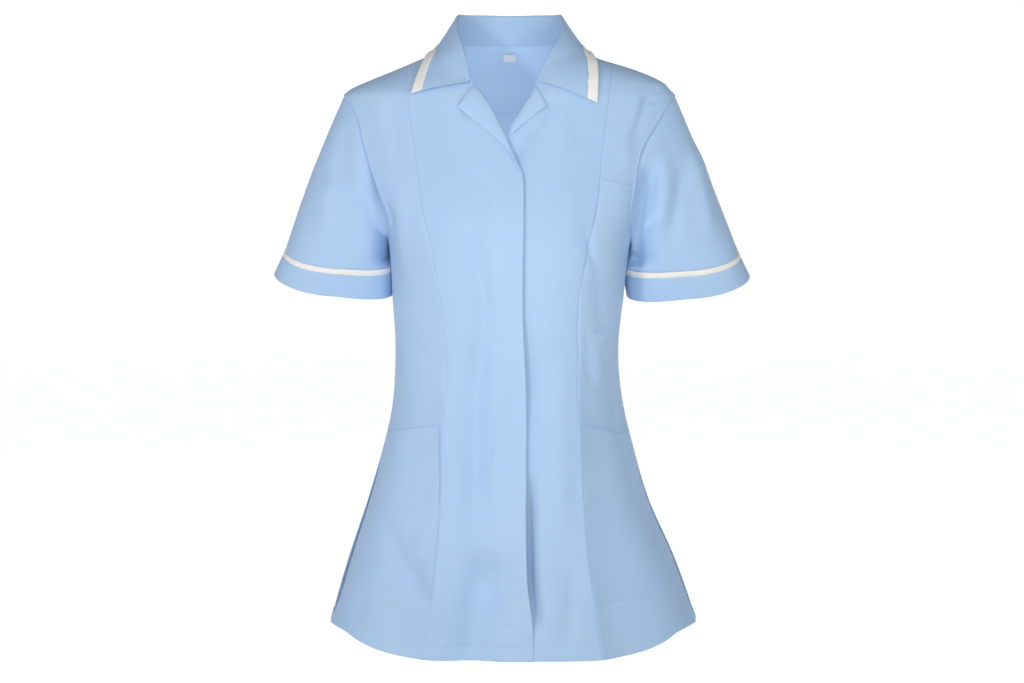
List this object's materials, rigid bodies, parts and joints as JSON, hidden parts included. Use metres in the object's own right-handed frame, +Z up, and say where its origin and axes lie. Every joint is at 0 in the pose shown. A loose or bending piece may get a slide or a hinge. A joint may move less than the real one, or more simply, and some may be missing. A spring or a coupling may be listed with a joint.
{
  "type": "short-sleeved tunic with a revere collar",
  "caption": "Fitted short-sleeved work tunic with a revere collar, princess seams, a covered front fastening, trimmed collar and cuffs, patch pockets and side vents.",
  "frame": {"origin": "the middle of the neck, level with the seam that joins the collar to the back", "axes": "+Z up along the body, -Y is the front of the garment, +X is the wearer's left"},
  "size_m": [0.575, 0.2831, 0.756],
  "materials": {
    "blue_cloth": "matt",
    "white_trim": "matt",
    "label": "satin"
  },
  "bodies": {
    "root": {"front_centre_right": "blue_cloth", "front_centre_left": "blue_cloth", "front_side_right": "blue_cloth", "front_side_left": "blue_cloth", "back_yoke": "blue_cloth", "back_panel": "blue_cloth", "sleeve_right": "blue_cloth", "sleeve_left": "blue_cloth", "cuff_right": "blue_cloth", "cuff_left": "blue_cloth", "cuff_trim_right": "white_trim", "cuff_trim_left": "white_trim", "collar": "blue_cloth", "collar_trim": "white_trim", "revere_right": "blue_cloth", "revere_left": "blue_cloth", "breast_pocket": "blue_cloth", "hip_pocket_right": "blue_cloth", "hip_pocket_left": "blue_cloth", "size_label": "label"}
  },
  "joints": []
}
